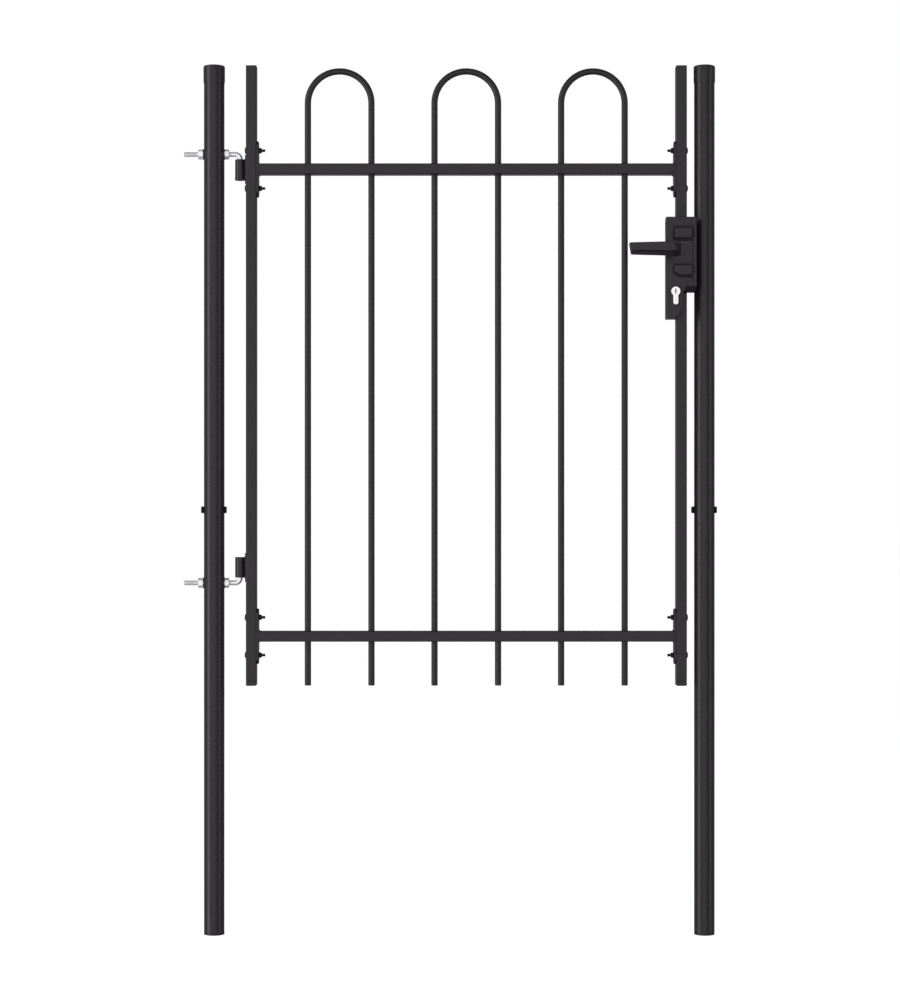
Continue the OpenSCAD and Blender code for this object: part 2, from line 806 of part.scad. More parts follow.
// The lever before the front cover: neck, turned corner and bevelled blade.
module lever_shape() {
    corner_x = neck_d/2 - lever_t;
    bevel_z = lever_root_h/2 - lever_flat*lever_root_h;
    back = lever_t - lever_out;
    difference() {
        union() {
            intersection() {
                translate([0, 0, -lever_root_h])
                    linear_extrude(2*lever_root_h) {
                        translate([-lever_len, -lever_out])
                            square([lever_len + corner_x, lever_t]);
                        intersection() {
                            translate([corner_x, back])
                                circle(lever_t);
                            translate([corner_x, back - lever_t])
                                square(lever_t);
                        }
                    }
                rotate([90, 0, 0])
                    linear_extrude(4*lever_out, center = true)
                        polygon([[-lever_len, -lever_tip_h/2], [0, -lever_root_h/2], [neck_d, -lever_root_h/2],
                                 [neck_d, lever_root_h/2], [0, lever_root_h/2], [-lever_len, lever_tip_h/2]]);
                rotate([90, 0, 90])
                    linear_extrude(4*lever_len, center = true)
                        polygon([[-lever_out, bevel_z], [lever_bevel - lever_out, -lever_root_h/2],
                                 [back, -lever_root_h/2], [back, lever_root_h/2], [-lever_out, lever_root_h/2]]);
            }
            translate([0, back, 0])
                rotate([-90, 0, 0])
                    cylinder(d = neck_d, h = lever_out - lever_t + neck_insert);
        }
        cube([spindle_s + 2*bar_clearance, 2*(lever_out - lever_t), spindle_s + 2*bar_clearance], center = true);
    }
}

module front_lever() {
    color(PLASTIC)
        translate([spindle_x, cover_y, spindle_z])
            lever_shape();
}

// The square spindle, from the lever's neck to the far side of the lock case.
module spindle() {
    y0 = cover_y - lever_out/2;
    color(ZINC)
        translate([spindle_x - spindle_s/2, y0, spindle_z - spindle_s/2])
            cube([spindle_s, back_y - case_wall - y0, spindle_s]);
}

post(0, [top_hook_z, bottom_hook_z]);  // hinge_post
post(post_spacing, []);  // latch_post
post_cap(0);  // hinge_post_cap
post_cap(post_spacing);  // latch_post_cap
post_foot(0);  // hinge_post_foot
post_foot(post_spacing);  // latch_post_foot
hook_rod(top_hook_z, 0);  // top_hook
hook_rod(bottom_hook_z, 1);  // bottom_hook
hook_nuts();
hook_washers();
hook_saddles();
strike();
hinge_upright();
latch_upright();
upright_caps(leaf_top - upright_cap_h, 0);  // upright_top_caps
upright_caps(leaf_bottom + upright_cap_h, 1);  // upright_bottom_caps
rail(top_rail_z);  // top_rail
rail(bottom_rail_z);  // bottom_rail
rail_plates(top_rail_z);  // top_rail_plates
rail_plates(bottom_rail_z);  // bottom_rail_plates
hoop(0);  // hoop_1
hoop(1);  // hoop_2
hoop(2);  // hoop_3
sleeve(top_sleeve_z, sleeve_lip);  // top_sleeve
sleeve(bottom_sleeve_z, 0);  // bottom_sleeve
sleeve_plates();
lock_case();
front_cover();
rear_cover();
rear_knob();
profile_cylinder();
latch_bolt();
dead_bolt();
front_lever();
spindle();
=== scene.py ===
"""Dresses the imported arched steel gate: lock cover, lever, hooks, bolts, welds, soft edges and finishes."""
import json
import math
import random

import bmesh
import bpy
from mathutils import Matrix, Vector, geometry


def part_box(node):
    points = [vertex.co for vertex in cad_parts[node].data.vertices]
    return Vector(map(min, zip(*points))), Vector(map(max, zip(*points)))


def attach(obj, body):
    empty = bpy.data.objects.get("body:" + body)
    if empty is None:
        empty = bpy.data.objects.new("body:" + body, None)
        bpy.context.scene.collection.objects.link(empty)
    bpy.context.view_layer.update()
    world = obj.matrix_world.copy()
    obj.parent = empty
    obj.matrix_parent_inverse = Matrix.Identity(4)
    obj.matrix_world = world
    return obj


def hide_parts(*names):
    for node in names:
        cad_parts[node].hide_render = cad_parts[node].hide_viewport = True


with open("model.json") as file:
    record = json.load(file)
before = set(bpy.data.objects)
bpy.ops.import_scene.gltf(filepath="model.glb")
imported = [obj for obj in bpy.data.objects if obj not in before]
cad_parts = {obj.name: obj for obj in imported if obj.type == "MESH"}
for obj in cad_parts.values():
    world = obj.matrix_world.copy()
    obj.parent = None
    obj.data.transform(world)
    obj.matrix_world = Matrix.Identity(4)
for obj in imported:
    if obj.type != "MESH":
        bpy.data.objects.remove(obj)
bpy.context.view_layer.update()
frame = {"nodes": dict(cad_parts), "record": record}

MM = 0.001
WHITE = (1.0, 1.0, 1.0, 1.0)
BODY_OF = {node: body for body, nodes in frame["record"]["behaviour"]["bodies"].items() for node in nodes}
SLOT_OF = {row["node"]: row["material_slot"] for row in frame["record"]["subparts"]}


def low(node):
    """A node's lowest corner at rest, in millimetres."""
    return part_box(node)[0]/MM


def high(node):
    """A node's highest corner at rest, in millimetres."""
    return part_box(node)[1]/MM


# ---------------------------------------------------------------- sizes that no node gives, in millimetres

# Meshes: distances at which points merge, angles in degrees, and steps round a full turn
MERGE = 0.003
NODE_MERGE = 0.002
FLAT_ANGLE = 0.5
SHARP_ANGLE = 25
NORMAL_WEIGHT = 80
ROUND_STEPS = 96

# Front cover: outline, counted from the spindle and from the cover's top, and its wing and cut corner
COVER_BELOW = 131.5
COVER_FOOT_W = 19
COVER_FOOT_RISE = 19
COVER_D = 22
COVER_OVERHANG = 2.6
COVER_EDGE = 0.8
COVER_CORNER = 1.4
SMALL_CORNER = 1.5
WING_CORNER = 3
WING_D = 16
WING_BELOW = 70
WING_DROP = 10.5
CUT_RUN = 10.5
CUT_RISE = 22
CUT_DOWN = 150.5
BODY_LAP = 0.2
BACK_EDGE = 0.4

# Front cover: room in its passages, and PASSAGE_END from their closed ends to the wing's rear
NECK_ROOM = 0.2
CYLINDER_ROOM = 0.3
HOLE_ROOM = 1.7
HOLE_SHIFT = (0.5, 0.6)
HOLE_DEPTH = 7
HOLE_STEP = 0.4
PASSAGE_END = 0.5

# Front cover: pads and channels on its face
FACE_STEP = 1.0
PAD_RISE = 1.5
PAD_ROUND = 1.5
CHANNEL_DEPTH = 2.8
CHANNEL_HALF = 3.2
UPPER_PAD = (22.3, 47)
LOWER_PAD = (-49.2, -25)
PAD_CUT_W = 9
PAD_CUT_Z = -42

# Lock cylinder
CYLINDER_R = 9.0
CYLINDER_H = 35.0
CYLINDER_FOOT = 10.0

# Lever: its blade, with (length, depth) rings at its tip, the groove along it and the step at its tip
LEVER_T = 14.0
LEVER_TIP_H = 22.5
LEVER_END = 4.5
LEVER_TIP = [(0, 2.2), (0.3, 1.4), (0.9, 0.7), (1.8, 0.2), (3, 0)]
LEVER_RINGS = [(6, 0), (20, 0), (45, 0), (70, 0)]
END_ROUND = 4.0
LEDGE_D = 2.2
GROOVE_TIP = 3
GROOVE_ROOT = 9
GROOVE_RUN = 40
TIP_STEP = 3.0
TIP_STEP_SOFT = 3
TIP_STEP_RUN = 30

# Lever: its neck, from the blade to the spindle's end and then flared to the cover by (lift, spread)
# rings. NECK_SQUARE is a power, FLARE_DOWN and FLARE_UP are shares of the spread.
NECK_R = 9.0
NECK_STEPS = 48
NECK_SQUARE = 0.5
NECK_IN_BLADE = 3
NECK_OVER_BAR = 0.6
NECK_GAP = 0.3
NECK_LEFT = 16
NECK_LEAN = 3
NECK_LAP = 0.6
NECK_REACH = 5.5
NECK_BOTTOM = 3
NECK_DROP = 3.2
NECK_TOP = 12
NECK_LIFT = 1
NECK_FLARE = [(5.4, 3.5), (2.9, 5.0), (1.1, 7.0), (0.2, 9.2), (0, 9.4)]
FLARE_DOWN = 0.5
FLARE_UP = 0.1
NECK_INSET = 0.2

# Hooks and threads. THREAD_DEPTH and THREAD_END are shares of the pitch, THREAD_LEAD is a slope.
HOOK_R = 5.0
HOOK_BEND = 10
HOOK_PITCH = 1.5
HOOK_PLAIN = 8
HOOK_LAP = 1
HOOK_SHOULDER = 0.4
HOOK_TIP = 0.8
THREAD_DEPTH = 0.613
THREAD_LEAD = 1.2
THREAD_END = 0.8

# Bolts: (length, radius) profiles, (width, height) of heads and nuts, and a thread's start, end,
# radius and pitch. HEX_SLOPE is a slope.
PLATE_T = 4.0
END_BOLT = 37.0
END_DOME = [(-1, 6.9), (0.7, 6.9), (1.7, 6.4), (2.6, 5.2), (3.2, 3.4), (3.4, 0.4)]
END_FLANGE = [(-0.5, 6.4), (0.9, 6.4), (1.6, 5.0), (1.8, 4.6)]
END_NUT = (10, 5.6)
END_THREAD = (1, 12.5, 3.0, 1.0)
CROSS_BOLT_Z = 831.0
CROSS_SEAT = [(-1.2, 7.4), (0.2, 7.4), (0.3, 7.2)]
CROSS_HEAD = (13, 5.3)
CROSS_NUT = (13, 4.2)
HEX_STEPS = 36
HEX_SLOPE = 1.7

# Weld beads. BEAD_WOBBLE is a share of the radius, STRIKE_SEED a seed.
BEAD_RIPPLE = 0.9
BEAD_WOBBLE = 0.25
RAIL_BEAD_R = 1.7
RAIL_SIDE_BEAD_R = 1.2
RAIL_BEAD_IN = 0.3
RAIL_CORNER = 1.6
SIDE_BEAD_SINK = 0.4
SLEEVE_BEAD_R = 1.5
SLEEVE_BEAD_IN = 2.4
SLEEVE_BEAD_HALF = 4.5
STRIKE_BEAD_R = 1.4
STRIKE_BEAD_OUT = 0.4
STRIKE_BEAD_END = 3
STRIKE_SEED = 60

# Caps and feet
CAP_BEAD = 0.3
CAP_BEAD_DOWN = 12
CAP_ROOF = 5
CAP_GROOVE = 0.5
CAP_CLEARANCE = 0.05
CAP_CROWN = 2.1
FOOT_ROUND = 0.3
FOOT_GROOVE = 0.8
FOOT_WALL = 2.5
PLUG_GROOVE = 0.7
PLUG_WALL = 2.6
PLUG_CORNER = 1.0

spindle_at = (low("spindle") + high("spindle"))/2
PAD_X0 = spindle_at.x - 2.8
PAD_X1 = spindle_at.x + 35


# ---------------------------------------------------------------- camera, stage and light

# In metres, apart from the lens and the shares
CAMERA_AT = (0.4344, -4.52, 0.806)
CAMERA_LENS = 83.07
CAMERA_SHIFT = (0.014, 0.0226)
WORLD_LEVEL = 0.17
GLOSSY_SHARE = 0.1
LAMP_X = 0.46
LAMP_Z = 1.1
LAMP_TALL = 6.4
FLOOR_HALF = 400
FLOOR_GREY = 0.6
FLOOR_ROUGHNESS = 0.9
FLOOR_GLOW = 0.9


def make_camera():
    """A long lens at half the posts' height, a little left of the leaf's middle."""
    data = bpy.data.cameras.new("camera")
    data.lens = CAMERA_LENS
    data.shift_x, data.shift_y = CAMERA_SHIFT
    camera = bpy.data.objects.new("camera", data)
    camera.location = CAMERA_AT
    camera.rotation_euler = (math.radians(90), 0, 0)
    bpy.context.scene.collection.objects.link(camera)
    bpy.context.scene.camera = camera


def make_world():
    """White to the camera, partly white to reflections, and a dim grey as ambient light."""
    world = bpy.data.worlds.new("studio")
    bpy.context.scene.world = world
    world.use_nodes = True
    tree = world.node_tree
    tree.nodes.clear()
    output = tree.nodes.new("ShaderNodeOutputWorld")
    mix = tree.nodes.new("ShaderNodeMixShader")
    ambient = tree.nodes.new("ShaderNodeBackground")
    backdrop = tree.nodes.new("ShaderNodeBackground")
    path = tree.nodes.new("ShaderNodeLightPath")
    seen = tree.nodes.new("ShaderNodeMath")
    glossy = tree.nodes.new("ShaderNodeMath")
    ambient.inputs["Color"].default_value = WHITE
    ambient.inputs["Strength"].default_value = WORLD_LEVEL
    backdrop.inputs["Color"].default_value = WHITE
    backdrop.inputs["Strength"].default_value = 1.0
    seen.operation = "MAXIMUM"
    glossy.operation = "MULTIPLY_ADD"
    glossy.inputs[1].default_value = GLOSSY_SHARE
    tree.links.new(path.outputs["Is Camera Ray"], seen.inputs[0])
    tree.links.new(path.outputs["Is Transmission Ray"], seen.inputs[1])
    tree.links.new(path.outputs["Is Glossy Ray"], glossy.inputs[0])
    tree.links.new(seen.outputs[0], glossy.inputs[2])
    tree.links.new(glossy.outputs[0], mix.inputs[0])
    tree.links.new(ambient.outputs[0], mix.inputs[1])
    tree.links.new(backdrop.outputs[0], mix.inputs[2])
    tree.links.new(mix.outputs[0], output.inputs["Surface"])


def make_softbox(name, azimuth, distance, width, power):
    """A tall area light that faces the gate, its azimuth counted from the camera towards +X."""
    data = bpy.data.lights.new(name, "AREA")
    data.shape = "RECTANGLE"
    data.size, data.size_y = width, LAMP_TALL
    data.energy = power
    lamp = bpy.data.objects.new(name, data)
    lamp.visible_camera = False
    angle = math.radians(azimuth)
    lamp.location = (LAMP_X + distance*math.sin(angle), -distance*math.cos(angle), LAMP_Z)
    target = Vector((LAMP_X, 0, LAMP_Z))
    lamp.rotation_euler = (target - lamp.location).to_track_quat("-Z", "Y").to_euler()
    bpy.context.scene.collection.objects.link(lamp)


def make_floor():
    """A plain pale floor that stays white to the camera and keeps the gate's soft shadow."""
    bm = bmesh.new()
    bmesh.ops.create_grid(bm, x_segments=1, y_segments=1, size=FLOOR_HALF)
    floor = add_mesh("floor", bm)
    material = bpy.data.materials.new("floor_pale")
    material.use_nodes = True
    shader = material.node_tree.nodes["Principled BSDF"]
    shader.inputs["Base Color"].default_value = (FLOOR_GREY, FLOOR_GREY, FLOOR_GREY, 1)
    shader.inputs["Roughness"].default_value = FLOOR_ROUGHNESS
    shader.inputs["Specular IOR Level"].default_value = 0.0
    shader.inputs["Emission Color"].default_value = WHITE
    path = material.node_tree.nodes.new("ShaderNodeLightPath")
    scale = material.node_tree.nodes.new("ShaderNodeMath")
    scale.operation = "MULTIPLY"
    scale.inputs[1].default_value = FLOOR_GLOW
    material.node_tree.links.new(path.outputs["Is Camera Ray"], scale.inputs[0])
    material.node_tree.links.new(scale.outputs[0], shader.inputs["Emission Strength"])
    floor.data.materials.append(material)
    floor.visible_glossy = False
    floor.visible_shadow = False


# ---------------------------------------------------------------- mesh helpers

def add_mesh(name, bm, smooth=False):
    """Turns a bmesh into a linked object."""
    mesh = bpy.data.meshes.new(name)
    bm.to_mesh(mesh)
    bm.free()
    for face in mesh.polygons:
        face.use_smooth = smooth
    obj = bpy.data.objects.new(name, mesh)
    bpy.context.scene.collection.objects.link(obj)
    return obj


def apply_modifiers(obj):
    """Puts the result of the object's modifiers in its mesh."""
    bpy.context.view_layer.update()
    mesh = bpy.data.meshes.new_from_object(obj.evaluated_get(bpy.context.evaluated_depsgraph_get()))
    obj.modifiers.clear()
    obj.data = mesh


def weigh_normals(obj):
    """Smooth shading in which large flat faces stay flat."""
    for face in obj.data.polygons:
        face.use_smooth = True
    modifier = obj.modifiers.new("normals", "WEIGHTED_NORMAL")
    modifier.weight = NORMAL_WEIGHT
    apply_modifiers(obj)


def dress(obj, body, slot, *nodes):
    """Gives a piece its finish, its body and the CAD nodes that it stands for."""
    obj.data.materials.clear()
    obj.data.materials.append(finishes[slot])
    if nodes:
        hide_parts(*nodes)
    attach(obj, body)


def soften(node, width):
    """A copy of a node in its place, its flat faces joined and its sharp edges rounded."""
    bm = bmesh.new()
    bm.from_mesh(frame["nodes"][node].data)
    bmesh.ops.remove_doubles(bm, verts=bm.verts, dist=NODE_MERGE*MM)
    bmesh.ops.dissolve_limit(bm, angle_limit=math.radians(FLAT_ANGLE), verts=bm.verts, edges=bm.edges)
    edges = [edge for edge in bm.edges if len(edge.link_faces) == 2
             and edge.calc_face_angle() > math.radians(SHARP_ANGLE)]
    bmesh.ops.bevel(bm, geom=edges, offset=width*MM, segments=3, profile=0.5,
                    affect="EDGES", clamp_overlap=True)
    obj = add_mesh("soft_" + node, bm)
    weigh_normals(obj)
    dress(obj, BODY_OF[node], SLOT_OF[node], node)


def loft(bm, rings):
    """A closed skin through rings of points in millimetres, flat at both ends."""
    rows = [[bm.verts.new(Vector(point)*MM) for point in ring] for ring in rings]
    faces = [bm.faces.new(rows[0]), bm.faces.new(rows[-1])]
    for near, far in zip(rows, rows[1:]):
        for index in range(len(near)):
            after = (index + 1) % len(near)
            faces.append(bm.faces.new((near[index], near[after], far[after], far[index])))
    bmesh.ops.recalc_face_normals(bm, faces=faces)


def rounded(corners, steps=5):
    """The points of a polygon given as (x, z, corner radius), counterclockwise."""
    points = []
    for index, (x, z, radius) in enumerate(corners):
        here = Vector((x, z))
        before = (Vector(corners[index - 1][:2]) - here).normalized()
        after = (Vector(corners[(index + 1) % len(corners)][:2]) - here).normalized()
        half = before.angle(after)/2
        middle = here + (before + after).normalized()*radius/math.sin(half)
        start = here + before*radius/math.tan(half) - middle
        end = here + after*radius/math.tan(half) - middle
        points += [middle + start.slerp(end, step/steps)*radius for step in range(steps + 1)]
    return points


def inset(points, depth):
    """A counterclockwise outline moved inwards."""
    moved = []
    for index, point in enumerate(points):
        before = (point - points[index - 1]).normalized()
        after = (points[(index + 1) % len(points)] - point).normalized()
        inward = Vector((-before.y - after.y, before.x + after.x)).normalized()
        moved.append(point + inward*depth/max(0.5, inward.dot(Vector((-after.y, after.x)))))
    return moved


def turned(bm, profile, place, steps=32):
    """A turned solid from (length, radius) pairs along its axis, placed by a matrix."""
    rings = []
    for along, radius in profile:
        angles = [math.tau*step/steps for step in range(steps)]
        rings.append([place @ Vector((along, radius*math.cos(angle), radius*math.sin(angle)))
                      for angle in angles])
    loft(bm, rings)


# ---------------------------------------------------------------- finishes

def new_material(name, color, roughness, metallic=0.0, specular=0.5):
    """A Principled material and its node tree."""
    material = bpy.data.materials.new(name)
    material.use_nodes = True
    shader = material.node_tree.nodes["Principled BSDF"]
    shader.inputs["Base Color"].default_value = (*color, 1)
    shader.inputs["Roughness"].default_value = roughness
    shader.inputs["Metallic"].default_value = metallic
    shader.inputs["Specular IOR Level"].default_value = specular
    return material, material.node_tree, shader


def noise(tree, scale, detail=3.0, stretch=(1, 1, 1)):
    """A noise texture in object space, in cells a metre."""
    place = tree.nodes.new("ShaderNodeTexCoord")
    mapping = tree.nodes.new("ShaderNodeMapping")
    texture = tree.nodes.new("ShaderNodeTexNoise")
    mapping.inputs["Scale"].default_value = stretch
    texture.inputs["Scale"].default_value = scale
    texture.inputs["Detail"].default_value = detail
    tree.links.new(place.outputs["Object"], mapping.inputs["Vector"])
    tree.links.new(mapping.outputs["Vector"], texture.inputs["Vector"])
    return texture.outputs["Fac"]


def remap(tree, value, low_to, high_to):
    """A value between 0.3 and 0.7 spread over a new range."""
    node = tree.nodes.new("ShaderNodeMapRange")
    node.inputs["From Min"].default_value = 0.3
    node.inputs["From Max"].default_value = 0.7
    node.inputs["To Min"].default_value = low_to
    node.inputs["To Max"].default_value = high_to
    tree.links.new(value, node.inputs["Value"])
    return node.outputs["Result"]


def tint(tree, shader, value, dark, light):
    """Colour between two tones, steered by a texture."""
    mix = tree.nodes.new("ShaderNodeMix")
    mix.data_type = "RGBA"
    mix.inputs["A"].default_value = (*dark, 1)
    mix.inputs["B"].default_value = (*light, 1)
    tree.links.new(value, mix.inputs["Factor"])
    tree.links.new(mix.outputs["Result"], shader.inputs["Base Color"])


def relief(tree, shader, value, height):
    """Bump of a given height in millimetres."""
    bump = tree.nodes.new("ShaderNodeBump")
    bump.inputs["Strength"].default_value = 1.0
    bump.inputs["Distance"].default_value = height*MM
    tree.links.new(value, bump.inputs["Height"])
    tree.links.new(bump.outputs["Normal"], shader.inputs["Normal"])


def black_coat():
    """Powder coat on steel: satin black with the faint ripple of orange peel."""
    material, tree, shader = new_material("black_coat", (0.019, 0.014, 0.019), 0.36, specular=0.34)
    grain = remap(tree, noise(tree, 700), 0, 1)
    tint(tree, shader, grain, (0.017, 0.0125, 0.017), (0.021, 0.0155, 0.021))
    tree.links.new(remap(tree, noise(tree, 90), 0.33, 0.39), shader.inputs["Roughness"])
    relief(tree, shader, noise(tree, 420, 2.0), 0.012)
    return material


def black_plastic():
    """Moulded plastic with a fine matt grain."""
    material, tree, shader = new_material("black_plastic", (0.018, 0.0135, 0.018), 0.37, specular=0.35)
    grain = remap(tree, noise(tree, 300), 0, 1)
    tint(tree, shader, grain, (0.0165, 0.012, 0.0165), (0.0195, 0.015, 0.0195))
    tree.links.new(remap(tree, noise(tree, 1500), 0.34, 0.42), shader.inputs["Roughness"])
    relief(tree, shader, noise(tree, 2600, 2.0), 0.006)
    return material


def lock_black():
    """Coated zinc casting: a shade smoother than the gate's tubes."""
    material, tree, shader = new_material("lock_black", (0.019, 0.014, 0.019), 0.37, specular=0.36)
    grain = remap(tree, noise(tree, 500), 0, 1)
    tint(tree, shader, grain, (0.0175, 0.0125, 0.0175), (0.0205, 0.0155, 0.0205))
    tree.links.new(remap(tree, noise(tree, 150), 0.35, 0.42), shader.inputs["Roughness"])
    relief(tree, shader, noise(tree, 900, 2.0), 0.008)
    return material


def zinc():
    """Galvanised steel: pale, with soft blue-grey patches."""
    material, tree, shader = new_material("zinc", (0.88, 0.89, 0.9), 0.34, metallic=0.6)
    tint(tree, shader, remap(tree, noise(tree, 160, 4.0), 0, 1), (0.84, 0.86, 0.88), (0.93, 0.93, 0.93))
    tree.links.new(remap(tree, noise(tree, 420), 0.24, 0.38), shader.inputs["Roughness"])
    relief(tree, shader, noise(tree, 1200, 3.0), 0.004)
    return material


def nickel():
    """Satin nickel, brushed across its face."""
    material, tree, shader = new_material("nickel", (0.88, 0.87, 0.85), 0.3, metallic=0.7)
    tint(tree, shader, remap(tree, noise(tree, 220), 0, 1), (0.86, 0.85, 0.83), (0.92, 0.91, 0.89))
    tree.links.new(remap(tree, noise(tree, 500, 3.0, (1, 1, 14)), 0.22, 0.34), shader.inputs["Roughness"])
    relief(tree, shader, noise(tree, 700, 2.0, (1, 1, 14)), 0.002)
    return material


# ---------------------------------------------------------------- lock cover

def smoothstep(value):
    """A soft step from 0 to 1."""
    value = min(1.0, max(0.0, value))
    return value*value*(3 - 2*value)


def cylinder_outline(middle, room, steps=24):
    """The profile of the lock cylinder with room around it, counterclockwise from its foot's right side."""
    radius = CYLINDER_R + room
    foot = CYLINDER_FOOT/2 + room
    foot_z = middle.y - (CYLINDER_H - CYLINDER_R - CYLINDER_FOOT/2)
    join = math.asin(foot/radius)
    turn = math.tau - 2*join
    points = []
    for step in range(steps + 1):
        angle = join - math.pi/2 + turn*step/steps
        points.append(middle + Vector((math.cos(angle), math.sin(angle)))*radius)
    for step in range(steps//2 + 1):
        angle = math.pi + math.pi*step/(steps//2)
        points.append(Vector((middle.x + foot*math.cos(angle), foot_z + foot*math.sin(angle))))
    return points


def circle_outline(middle, radius, steps=40):
    """A counterclockwise circle."""
    return [middle + Vector((math.cos(math.tau*step/steps), math.sin(math.tau*step/steps)))*radius
            for step in range(steps)]


def standing(points, y):
    """An outline in x and z, stood up at a depth."""
    return [Vector((point.x, y, point.y)) for point in points]


def skin(bm, rings, outward):
    """Joins rings of points in millimetres by a belt of faces."""
    rows = [[bm.verts.new(point*MM) for point in ring] for ring in rings]
    for near, far in zip(rows, rows[1:]):
        for index in range(len(near)):
            after = (index + 1) % len(near)
            corners = (near[index], near[after], far[after], far[index])
            bm.faces.new(corners if outward else corners[::-1])
    return rows


def inside(point, outline):
    """Whether a point lies within an outline."""
    crossings = 0
    for start, end in zip(outline, outline[1:] + outline[:1]):
        if (start.y > point.y) != (end.y > point.y):
            crossings += point.x < start.x + (end.x - start.x)*(point.y - start.y)/(end.y - start.y)
    return crossings % 2 == 1


def height_field(bm, outer, holes, step, raise_by, y):
    """Fills an outline with a fine mesh whose points stand out of the plane by a function of place."""
    points = list(outer)
    edges = [(index, (index + 1) % len(outer)) for index in range(len(outer))]
    for hole in holes:
        start = len(points)
        points += hole
        edges += [(start + index, start + (index + 1) % len(hole)) for index in range(len(hole))]
    low_x, high_x = min(point.x for point in outer), max(point.x for point in outer)
    low_z, high_z = min(point.y for point in outer), max(point.y for point in outer)
    for row in range(1, int((high_z - low_z)/step)):
        for column in range(1, int((high_x - low_x)/step)):
            points.append(Vector((low_x + (column + 0.5*(row % 2))*step, low_z + row*step)))
    found, _, faces, *_ = geometry.delaunay_2d_cdt(points, edges, [], 1, 0.01)
    verts = [bm.verts.new(Vector((point.x, y - raise_by(point), point.y))*MM) for point in found]
    for face in faces:
        middle = sum((found[index] for index in face), Vector((0, 0)))/3
        if not any(inside(middle, hole) for hole in holes):
            bm.faces.new([verts[index] for index in face])


def edge_depths(point, corners):
    """How far a point lies inside each side of a convex counterclockwise polygon."""
    depths = []
    for index, corner in enumerate(corners):
        start = Vector(corners[index - 1])
        along = (Vector(corner) - start).normalized()
        offset = point - start
        depths.append(along.x*offset.y - along.y*offset.x)
    return depths


COVER_LINES = [
    (Vector((PAD_X1, spindle_at.z + UPPER_PAD[1])), Vector((PAD_X1, spindle_at.z - 60)), 0.35),
    (Vector((PAD_X0, spindle_at.z + 23)), Vector((PAD_X0, spindle_at.z + 13)), 0.6),
    (Vector((PAD_X1 - 10, spindle_at.z - 61)), Vector((PAD_X1 - 13.5, spindle_at.z - 69)), 0.5),
]
COVER_PADS = [
    ([(PAD_X0, spindle_at.z + UPPER_PAD[0]), (PAD_X1, spindle_at.z + UPPER_PAD[0]),
      (PAD_X1, spindle_at.z + UPPER_PAD[1]), (PAD_X0, spindle_at.z + UPPER_PAD[1])],
     (0.8, 1.0, 0.6, 0.55)),
    ([(PAD_X0 + PAD_CUT_W, spindle_at.z + LOWER_PAD[0]), (PAD_X1, spindle_at.z + LOWER_PAD[0]),
      (PAD_X1, spindle_at.z + LOWER_PAD[1]), (PAD_X0, spindle_at.z + LOWER_PAD[1]),
      (PAD_X0, spindle_at.z + PAD_CUT_Z)],
     (0.9, 0.9, 0.35, 0.4, 0.7)),
]


def cover_relief(point):
    """How far the cover's face stands out: two pads in soft channels, and straight channels beside them."""
    height = 0.0
    for corners, weights in COVER_PADS:
        depths = edge_depths(point, corners)
        depth = -PAD_ROUND*math.log(sum(math.exp(-value/PAD_ROUND) for value in depths))
        weight = weights[depths.index(min(depths))]
        height += PAD_RISE*smoothstep(depth/CHANNEL_HALF)
        height -= weight*CHANNEL_DEPTH*(1 - smoothstep(abs(depth)/CHANNEL_HALF))
    for start, end, weight in COVER_LINES:
        nearest, share = geometry.intersect_point_line(point, start, end)
        nearest = start.lerp(end, min(1.0, max(0.0, share)))
        height -= weight*CHANNEL_DEPTH*(1 - smoothstep((point - nearest).length/CHANNEL_HALF))
    return height


def cover_foot(x0, z0, cut_x, cut_z):
    """The lower left part of the cover's outline, up to the cut corner."""
    return [(x0, z0, SMALL_CORNER), (x0 + COVER_FOOT_W, z0, SMALL_CORNER),
            (cut_x, z0 + COVER_FOOT_RISE, SMALL_CORNER), (cut_x, cut_z, SMALL_CORNER)]


